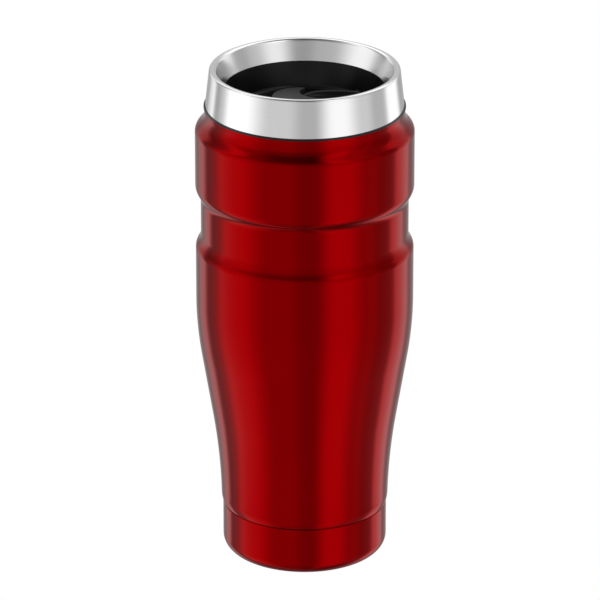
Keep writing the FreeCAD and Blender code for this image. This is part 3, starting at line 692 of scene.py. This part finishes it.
def silicone(name, colour, rough):
    """Soft matt rubber with dust-fine mottling."""
    n = material_nodes(name)
    mottle = n.noise(260.0, 4.0, 0.6)
    dust = n.span(mottle, 0.35, 0.7, 0.0, 1.0)
    shade = n.blend(dust, scaled(colour, 1.0), scaled(colour, 1.35, 0.01))
    return n.finish(Base_Color=shade, Roughness=n.vary(mottle, rough - 0.06, rough + 0.06),
                    Specular_IOR_Level=0.35, Subsurface_Weight=0.08, Subsurface_Scale=0.001,
                    Normal=n.bump(n.noise(7000.0, 2.0), 4e-6))


def rolled_metal(name, colour, rough, crease, scale):
    """Thin rolled metal: mottled reflection, and small dents or grain."""
    n = material_nodes(name)
    mottle = n.noise(scale, 4.0, 0.6)
    shade = n.blend(n.vary(mottle, 0.0, 1.0), scaled(colour, 0.82), scaled(colour, 1.12))
    dents = n.bump(n.noise(scale * 0.35, 2.0), crease)
    return n.finish(Base_Color=shade, Metallic=1.0, Roughness=n.vary(mottle, rough - 0.06, rough + 0.08),
                    Normal=n.bump(n.noise(scale * 30, 2.0), crease * 0.05, dents))


MATERIALS = {
    "red_lacquer": red_lacquer(),
    "ring_steel": turned_steel("ring_steel", 0.67, 0.1, 2e-7, 0.3, (34.9, 0.1)),
    "liner_steel": turned_steel("liner_steel", 0.56, 0.3, 2e-6, 0.6),
    "spring_steel": turned_steel("spring_steel", 0.5, 0.28, 1e-6, 0.3),
    "clip_steel": rolled_metal("clip_steel", (0.5, 0.5, 0.5), 0.35, 2e-5, 400.0),
    "getter_metal": rolled_metal("getter_metal", (0.32, 0.31, 0.3), 0.55, 3e-5, 900.0),
    "foil_metal": rolled_metal("foil_metal", (0.83, 0.45, 0.28), 0.22, 2.5e-4, 120.0),
    "bead_metal": rolled_metal("bead_metal", (0.55, 0.52, 0.45), 0.3, 6e-5, 500.0),
    "lid_plastic": moulded_plastic("lid_plastic", 0.006, 0.22, 8e-7, 0.17),
    "lever_plastic": moulded_plastic("lever_plastic", 0.027, 0.42, 8e-7, 0.4),
    "gate_plastic": moulded_plastic("gate_plastic", 0.008, 0.45, 3e-6, 0.3),
    "gasket_silicone": silicone("gasket_silicone", (0.11, 0.11, 0.115), 0.55),
    "seal_silicone": silicone("seal_silicone", (0.3, 0.31, 0.32), 0.5),
}
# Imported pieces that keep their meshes, and their materials
KEPT = {
    "getter_pill": "getter_metal", "getter_clip": "clip_steel", "radiation_foil": "foil_metal",
    "shaft_o_ring": "seal_silicone", "gate_rotor": "gate_plastic", "gate_seal": "seal_silicone",
    "vent_seal": "seal_silicone", "disc_spring": "spring_steel", "thrust_washer": "spring_steel",
    "rotor_screw": "spring_steel",
}


def coat(made, material):
    """Gives a piece one material and no other."""
    made.data.materials.clear()
    made.data.materials.append(MATERIALS[material])


def dress(made, slot, body, *nodes):
    """Gives a piece its material, its body, and the CAD nodes it stands for."""
    coat(made, slot)
    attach(made, body)
    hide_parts(*nodes)


# ---------------------------------------------------------------------------------------------
# Vessel
# ---------------------------------------------------------------------------------------------


def s_bend(start, end, bend, bend_at_end=False):
    """Two rounded corners that carry an upright wall from one radius to another."""
    rise, step = end[1] - start[1], abs(end[0] - start[0])
    other = rise / math.sin(2 * math.atan(step / rise)) - bend
    first, second = (other, bend) if bend_at_end else (bend, other)
    return [(start[0], start[1] + first * step / rise, first),
            (end[0], end[1] - second * step / rise, second)]


def shell_side():
    """The red shell's outside, from its foot up to the neck."""
    waist, waist_height = SIZE["waist"]
    belly, belly_height = SIZE["belly"]
    flare, swell = SIZE["flare_bend"], SIZE["swell_bend"]
    rise = belly_height - waist_height
    across = waist + flare - (belly - swell)
    slope = math.atan2(rise, across) - math.acos((flare + swell) / math.hypot(rise, across))
    foot_height = low("outer_shell")
    curl_height = SIZE["curl_height"]
    curl_end = waist + flare - math.sqrt(flare ** 2 - (curl_height - waist_height) ** 2)
    step, lift = curl_end - SIZE["foot_radius"], curl_height - foot_height
    groove, band = SIZE["groove_radius"], reach("outer_shell")
    neck, neck_height = SIZE["neck"]
    angle = SIZE["shoulder_slope"]
    crease_height = SIZE["band_top"] + SIZE["crease_bend"] * math.tan(angle / 2)
    hollow_height = crease_height + (band - neck) / math.tan(angle)
    hollow_bend = (neck_height - hollow_height) / math.tan(angle / 2)
    grip_low, grip_high = SIZE["grip_shoulder"]
    band_low, band_high = SIZE["band_foot"]
    return [
        (SIZE["foot_radius"], foot_height),
        (curl_end, curl_height, (step ** 2 + lift ** 2) / (2 * step), LEFT),
        (waist + flare * (1 - math.cos(slope)), waist_height + flare * math.sin(slope), flare, RIGHT),
        (belly, belly_height - swell * math.tan(slope / 2), swell),
        *s_bend((belly, grip_low), (groove, grip_high), SIZE["grip_bulge"]),
        *s_bend((groove, band_low), (band, band_high), SIZE["band_bulge"], True),
        (band, crease_height, SIZE["crease_bend"]),
        (neck, hollow_height, hollow_bend),
        (neck, high("outer_shell")),
    ]


def metal_skin(name, corners, wall):
    """Turned sheet metal, from the corners of its outside or its underside."""
    return lathe(name, sheet(trace(corners, SIZE["metal_edge"], False), wall))


def make_shell():
    """The red shell."""
    shell = metal_skin("shell_skin", shell_side(), SIZE["shell_wall"])
    dress(shell, "red_lacquer", "vessel", "outer_shell")


def make_base():
    """The red base cup, and the bead that closes its port."""
    base, top = reach("base_cup"), SIZE["base_top"]
    panel, panel_height = SIZE["panel"]
    dimple, dimple_height = SIZE["dimple"]
    drop, lift = SIZE["joggle"]
    outer_bend, inner_bend = SIZE["joggle_bends"]
    cup = metal_skin("base_skin", [
        (SIZE["port_radius"], dimple_height),
        (dimple, dimple_height, SIZE["dimple_bend"]),
        (dimple + SIZE["dimple_slope"], panel_height, SIZE["dimple_bend"]),
        (panel, panel_height, SIZE["panel_bend"]),
        (SIZE["standing_ring"], 0.0, SIZE["ring_bend"]),
        (base, 0.0, SIZE["base_corner"]),
        (base, top - drop, outer_bend),
        (SIZE["spigot_radius"], top + lift, inner_bend),
        (SIZE["spigot_radius"], high("base_cup")),
    ], SIZE["base_wall"])
    dress(cup, "red_lacquer", "vessel", "base_cup")
    bead = "evacuation_seal"
    shelf, stem = dimple_height - SIZE["bead_gap"], SIZE["port_radius"] - SIZE["bead_gap"]
    dome = lathe("bead_dome", trace([
        (0.0, low(bead)),
        (reach(bead), low(bead), SIZE["bead_bend"]),
        (reach(bead), shelf),
        (stem, shelf),
        (stem, high(bead)),
        (0.0, high(bead)),
    ], SIZE["metal_edge"], False), AROUND_SMALL)
    dress(dome, "bead_metal", "vessel", bead)


def make_liner():
    """The steel liner with its thread."""
    mouth, mouth_low, mouth_high = SIZE["mouth"]
    collar, collar_low = SIZE["collar"]
    seat, seat_low, seat_high = SIZE["seat"]
    liner, taper_top, shoulder = SIZE["liner"]
    tub, taper_foot = SIZE["tub"]
    cup = metal_skin("liner_cup", [
        (collar, high("inner_liner")),
        (collar, collar_low, SIZE["collar_bend"]),
        (mouth, mouth_high, SIZE["collar_bend"]),
        (mouth, mouth_low, SIZE["seat_bend"]),
        (seat, seat_high, SIZE["seat_bend"]),
        (seat, seat_low, SIZE["liner_bend"]),
        (liner, shoulder, SIZE["liner_bend"]),
        (liner, taper_top, SIZE["taper_bend"]),
        (tub, taper_foot, SIZE["taper_bend"]),
        (tub, SIZE["tub_floor"], SIZE["tub_corner"]),
        (0.0, SIZE["tub_floor"]),
    ], SIZE["liner_wall"])
    ridges = two_start_thread("liner_ridge", mouth + SIZE["thread_root"], SIZE["liner_thread"])
    dress(join("liner_skin", [cup] + ridges), "liner_steel", "vessel", "inner_liner")


# ---------------------------------------------------------------------------------------------
# Lid
# ---------------------------------------------------------------------------------------------


def bowl_side():
    """Where the bowl's floor corner starts and ends, and the lean of its wall."""
    floor, foot = SIZE["bowl_floor"], SIZE["bowl_floor_radius"]
    rim, rim_height = SIZE["bowl_rim"]
    lean = math.atan2(rim - foot, rim_height - floor)
    cut = SIZE["bowl_corner"] * math.tan((math.pi / 2 - lean) / 2)
    return foot - cut, foot + cut * math.sin(lean), floor + cut * math.cos(lean), lean


def wall_rise(radius):
    """Height of the bowl's wall above its floor, at a radius."""
    start, end, end_height, lean = bowl_side()
    if radius <= start:
        return 0.0
    if radius < end:
        corner = SIZE["bowl_corner"]
        return corner - math.sqrt(max(0.0, corner ** 2 - (radius - start) ** 2))
    return end_height - SIZE["bowl_floor"] + (radius - end) / math.tan(lean)


def beyond_oval(point, half):
    """Distance of a point outside an oval round the drinking opening."""
    x, y = point.x - SIZE["opening"][0], point.y - SIZE["opening"][1]
    level = math.hypot(x / half[0], y / half[1])
    return (level - 1) * level / max(GUARD, math.hypot(x / half[0] ** 2, y / half[1] ** 2))


def floor_height(point):
    """Height of the bowl's floor, with the opening's raised lip, at a point."""
    rise = SIZE["lip_top"] - SIZE["bowl_floor"]
    side = SIZE["lip_side"]
    outside = beyond_oval(point, SIZE["lip_oval"])
    inside = max(0.0, beyond_oval(point, SIZE["mouth_oval"]))
    share = min(1.0, max(0.0, 0.5 - outside / (2 * side)))
    across = min(1.0, inside / max(GUARD, inside - outside)) if outside < 0 else 1.0
    lip = (rise - SIZE["lip_dip"] * (1 - across) ** 2) * share * share * (3 - 2 * share)
    both = (lip ** BLEND + wall_rise(point.length) ** BLEND) ** (1 / BLEND)
    edge = SIZE["mouth_edge"]
    inset = edge - min(edge, inside)
    return SIZE["bowl_floor"] + both - (edge - math.sqrt(edge ** 2 - inset ** 2))


def to_circle(point, radius):
    """Where the ray from the opening's centre through a point meets a circle round the axis."""
    centre = Vector(SIZE["opening"])
    way = (point - centre).normalized()
    along = centre.dot(way)
    return centre + way * (math.sqrt(along ** 2 + radius ** 2 - centre.length_squared) - along)


def lid_section():
    """Section of the bowl's wall, ring wall, flange and spigot, from the edge of its floor."""
    _, _, _, lean = bowl_side()
    rim, rim_height = SIZE["bowl_rim"]
    wall, ring_wall = SIZE["bowl_wall"], SIZE["ring_wall"]
    flange_low, flange_high = SIZE["flange"]
    taper, ring_top, edge = SIZE["ring_taper"], SIZE["ring_wall_top"], SIZE["height_field_radius"]
    back = SIZE["bowl_floor_radius"] + wall + (flange_high - SIZE["bowl_floor"]) * math.tan(lean)
    ring_foot = reach("rim_ring") - SIZE["ring_sheet"] / math.cos(taper) - SIZE["ring_gap"]
    ring_head = ring_foot - (ring_top - flange_high) * math.tan(taper)
    return trace([
        (edge, SIZE["bowl_floor"] + wall_rise(edge)),
        (rim, rim_height),
        (rim + wall, rim_height),
        (back, flange_high),
        (ring_foot - ring_wall, flange_high),
        (ring_head - ring_wall, ring_top),
        (ring_head, ring_top),
        (ring_foot, flange_high),
        (reach("lid_body"), flange_high),
        (reach("lid_body"), flange_low),
        (SIZE["spigot"], flange_low),
        (SIZE["spigot"], SIZE["floor_underside"]),
        (SIZE["spigot"] - SIZE["underside_land"], SIZE["floor_underside"]),
    ], SIZE["plastic_edge"], False)


def make_lid_body():
    """Bowl with its drinking opening, flange and ring wall, as one skin through the opening."""
    mouth = oval(*SIZE["mouth_oval"], AROUND, SIZE["opening"])
    throat = oval(*SIZE["throat_oval"], AROUND, SIZE["opening"])
    under, edge = SIZE["floor_underside"], SIZE["height_field_radius"]
    loops = [[(p.x, p.y, height) for p in throat] for height in (under, SIZE["throat_top"])]
    for step in range(FLOOR_STEPS + 1):
        share = step / FLOOR_STEPS
        share = share * share * (3 - 2 * share)
        spots = [point.lerp(to_circle(point, edge), share) for point in mouth]
        loops.append([(spot.x, spot.y, floor_height(spot)) for spot in spots])
    rays = [to_circle(point, edge).normalized() for point in mouth]
    for spot, _ in lid_section()[1:]:
        loops.append([(spot.x * ray.x, spot.x * ray.y, spot.y) for ray in rays])
    body = loft("bowl_skin", loops[::-1])
    below, above = under - CUT_PAST, SIZE["bowl_floor"] + CUT_PAST
    distance, turn, hole = SIZE["vent"]
    vent = (distance * math.cos(turn), distance * math.sin(turn))
    combine(body, "DIFFERENCE",
            pin("bore_cut", (0, 0), SIZE["bore"], below, above, AROUND_SMALL),
            pin("vent_cut", vent, hole, below, above, AROUND_VENT))
    outer, sleeve_low = SIZE["sleeve"]
    sleeve_high = under + SIZE["sleeve_overlap"]
    sleeve = lathe("sleeve", trace([
        (SIZE["bore"], sleeve_low),
        (outer, sleeve_low),
        (outer, sleeve_high),
        (SIZE["bore"], sleeve_high),
    ], SIZE["plastic_edge"]), AROUND_SMALL)
    dress(smooth_by_area(join("bowl_skin", [body, sleeve])), "lid_plastic", "lid", "lid_body")


def make_ring():
    """Drawn steel ring: tapered wall, rolled lip, and the cone that dips into the bowl."""
    foot, foot_height, top = reach("rim_ring"), low("rim_ring"), high("rim_ring")
    outer, inner = SIZE["lip_corners"]
    cone, cone_height = SIZE["ring_cone"]
    skin = metal_skin("ring_skin", [
        (foot, foot_height),
        (foot - (top - foot_height) * math.tan(SIZE["ring_taper"]), top, outer),
        (cone + (top - cone_height) * math.tan(SIZE["cone_angle"]), top, inner),
        (cone, cone_height),
    ], SIZE["ring_sheet"])
    dress(skin, "ring_steel", "lid", "rim_ring")


def make_plug():
    """Threaded skirt."""
    radius, inner = SIZE["plug_radius"], SIZE["plug_inner_radius"]
    inner_bend, outer_bend = SIZE["plug_bends"]
    groove, groove_low, groove_high = SIZE["gasket_groove"]
    bottom, top = low("lid_plug"), high("lid_plug")
    skirt = lathe("plug_skirt", trace([
        (inner, bottom, inner_bend),
        (radius, bottom, outer_bend),
        (radius, groove_low),
        (groove, groove_low),
        (groove, groove_high),
        (radius, groove_high),
        (radius, top),
        (SIZE["plug_collar"], top),
        (SIZE["plug_collar"], SIZE["plug_plate"]),
        (inner, SIZE["plug_plate"], inner_bend),
    ], SIZE["plastic_edge"]))
    ridges = two_start_thread("plug_ridge", radius - SIZE["thread_root"], SIZE["plug_thread"])
    dress(join("plug_skin", [skirt] + ridges), "lid_plastic", "lid", "lid_plug")


def make_gasket():
    """Silicone ring with two ribs."""
    groove, groove_low, groove_high = SIZE["gasket_groove"]
    gap, core, edge = SIZE["gasket_gap"], SIZE["gasket_core"], reach("lid_gasket")
    face_low, face_high, rib_top = SIZE["rib"]
    root_bend, face_bend = SIZE["rib_bends"]
    corners = [(groove + gap, groove_high - gap), (groove + gap, groove_low + gap),
               (core, groove_low + gap)]
    for rise in SIZE["ribs"]:
        foot = groove_low + rise
        corners += [(core, foot, root_bend), (edge, foot + face_low, face_bend),
                    (edge, foot + face_high, face_bend), (core, foot + rib_top, root_bend)]
    corners.append((core, groove_high - gap))
    gasket = lathe("gasket_skin", trace(corners, SIZE["plastic_edge"]))
    dress(gasket, "gasket_silicone", "seal_carrier", "lid_gasket")


# ---------------------------------------------------------------------------------------------
# Gate
# ---------------------------------------------------------------------------------------------


def from_widest_gap(points):
    """The points of part of a loop, started after the widest gap between neighbours."""
    split = max(range(len(points)), key=lambda k: (points[k] - points[k - 1]).length)
    return points[split:] + points[:split]


def paddle_outline():
    """Round paddle, cut away in an even gap round the opening's lip."""
    distance, turn, radius = SIZE["paddle"]
    centre = Vector((distance * math.cos(turn), distance * math.sin(turn)))
    half = [size + SIZE["paddle_gap"] for size in SIZE["lip_oval"]]
    arc = [point for point in oval(radius, radius, AROUND_PADDLE, centre)
           if beyond_oval(point, half) > 0]
    notch = [point for point in oval(*half, AROUND_NOTCH, SIZE["opening"])
             if (point - centre).length < radius]
    return from_widest_gap(arc) + from_widest_gap(notch)[::-1]


def make_lever():
    """Swivel lever: a flat round paddle on the shaft's hub."""
    bottom, top = SIZE["lever_low"], SIZE["lever_top"]
    foot = SIZE["bowl_floor"] + SIZE["hub_gap"]
    shaft, shaft_low = SIZE["shaft"], low("shaft_o_ring") - SIZE["shaft_end"]
    paddle = plate("lever_paddle", paddle_outline(), bottom, top)
    hub = pin("lever_hub", (0, 0), SIZE["hub_radius"], foot, top, AROUND_LEVER)
    ease_edges(combine(paddle, "UNION", hub), SIZE["paddle_edge"], segments=6)
    outline = [(0.0, shaft_low), (shaft, shaft_low), (shaft, bottom), (0.0, bottom)]
    shaft = lathe("lever_shaft", trace(outline, SIZE["shaft_edge"], False), AROUND_LEVER)
    dress(join("lever_skin", [paddle, shaft]), "lever_plastic", "gate", "swivel_lever")


# ---------------------------------------------------------------------------------------------
# Studio and camera
# ---------------------------------------------------------------------------------------------

# Radiance of the even surround, and the soft boxes and dark flags in it.  Each is the compass angle
# of its middle, counted from the front to the right, half its width, the width of its soft edge,
# and what it adds to the radiance.
SURROUND = 0.9
BOXES = {
    "left rear": (-140, 5, 10, 0.5),
    "left flag": (-115, 5, 15, -0.5),
    "left key": (-85, 10, 35, 0.75),
    "front flag": (5, 5, 20, -0.25),
    "right key": (40, 5, 25, 0.6),
    "right flag": (95, 5, 15, -0.25),
    "right rear": (125, 10, 10, 0.6),
}
# Share of that radiance by the sine of the angle above the floor, in front, to the sides and behind
FRONT = ((-1.0, 0.6), (-0.6, 1.0), (0.2, 0.9), (0.65, 0.5), (0.95, 0.18))
SIDES = ((-1.0, 0.3), (-0.65, 1.05), (-0.4, 1.0), (0.3, 0.8), (0.8, 1.1), (1.0, 0.1))
BACK = ((-1.0, 0.4), (-0.2, 0.55), (0.4, 0.8), (0.65, 1.5), (0.9, 1.8), (1.0, 0.1))
# Middle of the front, and how far from it the sides take over.  The back takes over from them at
# an angle from dead ahead.
FRONT_MIDDLE = -28
FRONT_EDGE = (46, 68)
BACK_EDGE = (128, 152)
# Floor and camera, in metres, with the lens and the sensor in millimetres
FLOOR_RADIUS = 3.0
LENS = 333.2
SENSOR = 36.0
CAMERA_PLACE = (-0.00187, -2.0423, 0.92992)
CAMERA_DOWN = math.radians(21.98)
CLIP_END = 50.0


def make_studio():
    """Soft light all round.  The camera sees plain white behind the object instead."""
    world = bpy.data.worlds.new("studio")
    bpy.context.scene.world = world
    n = Nodes(world)
    x, y, z = n.add("SeparateXYZ", Vector=n.add("TexCoord").outputs["Generated"]).outputs
    radians = n.math("ARCTAN2", x, n.math("MULTIPLY", y, -1.0))
    compass = n.math("MULTIPLY", radians, math.degrees(1.0))

    def away(middle, edge, near, far):
        """Value that goes from near to far over an edge, as the angle leaves a direction."""
        apart = n.math("ABSOLUTE", n.math("SUBTRACT", compass, middle))
        return n.span(apart, *edge, near, far, "SMOOTHSTEP")

    boxes = SURROUND
    for middle, half, edge, change in BOXES.values():
        boxes = n.math("ADD", boxes, away(middle, (half, half + edge), change, 0.0))
    most = max(level for _, level in FRONT + SIDES + BACK)
    height = n.span(z, -1.0, 1.0, 0.0, 1.0)
    front, sides, back = (n.ramp(height, [((place + 1) / 2, level / most) for place, level in stops])
                          for stops in (FRONT, SIDES, BACK))
    tall = n.blend(away(FRONT_MIDDLE, FRONT_EDGE, 0.0, 1.0), front, sides)
    tall = n.blend(away(0, BACK_EDGE, 0.0, 1.0), tall, back)
    light = n.tree.nodes["Background"]
    n.feed(light.inputs["Color"], n.merge("VectorMath", {"operation": "MULTIPLY"}, boxes, tall))
    light.inputs["Strength"].default_value = most
    white = n.add("Background", Color=grey(1.0))
    seen = n.add("LightPath").outputs["Is Camera Ray"]
    shown = n.merge("MixShader", None, seen, light.outputs[0], white.outputs[0])
    n.feed(n.tree.nodes["World Output"].inputs["Surface"], shown)


def make_floor():
    """Plain white floor that is clear from below, and that nothing reflects."""
    bpy.ops.mesh.primitive_circle_add(vertices=128, radius=FLOOR_RADIUS, fill_type="NGON")
    floor = bpy.context.active_object
    floor.name = "floor"
    for name in ("visible_diffuse", "visible_glossy", "visible_transmission", "visible_shadow"):
        setattr(floor, name, False)
    n = material_nodes("floor_white")
    n.tree.nodes.remove(n.tree.nodes["Principled BSDF"])
    below = n.add("NewGeometry").outputs["Backfacing"]
    glow, clear = n.add("Emission").outputs[0], n.add("BsdfTransparent").outputs[0]
    shown = n.merge("MixShader", None, below, glow, clear)
    n.feed(n.tree.nodes["Material Output"].inputs["Surface"], shown)
    floor.data.materials.append(n.owner)


def make_camera():
    """Long lens, from the front and above."""
    data = bpy.data.cameras.new("camera")
    data.lens = LENS
    data.sensor_width = SENSOR
    data.clip_end = CLIP_END
    camera = link("camera", data)
    camera.location = CAMERA_PLACE
    camera.rotation_euler = (math.pi / 2 - CAMERA_DOWN, 0, 0)
    bpy.context.scene.camera = camera
    bpy.context.scene.view_settings.view_transform = "Standard"


make_shell()
make_base()
make_liner()
make_lid_body()
make_ring()
make_plug()
make_gasket()
make_lever()
for node_name, material_name in KEPT.items():
    coat(frame["nodes"][node_name], material_name)
make_studio()
make_floor()
make_camera()
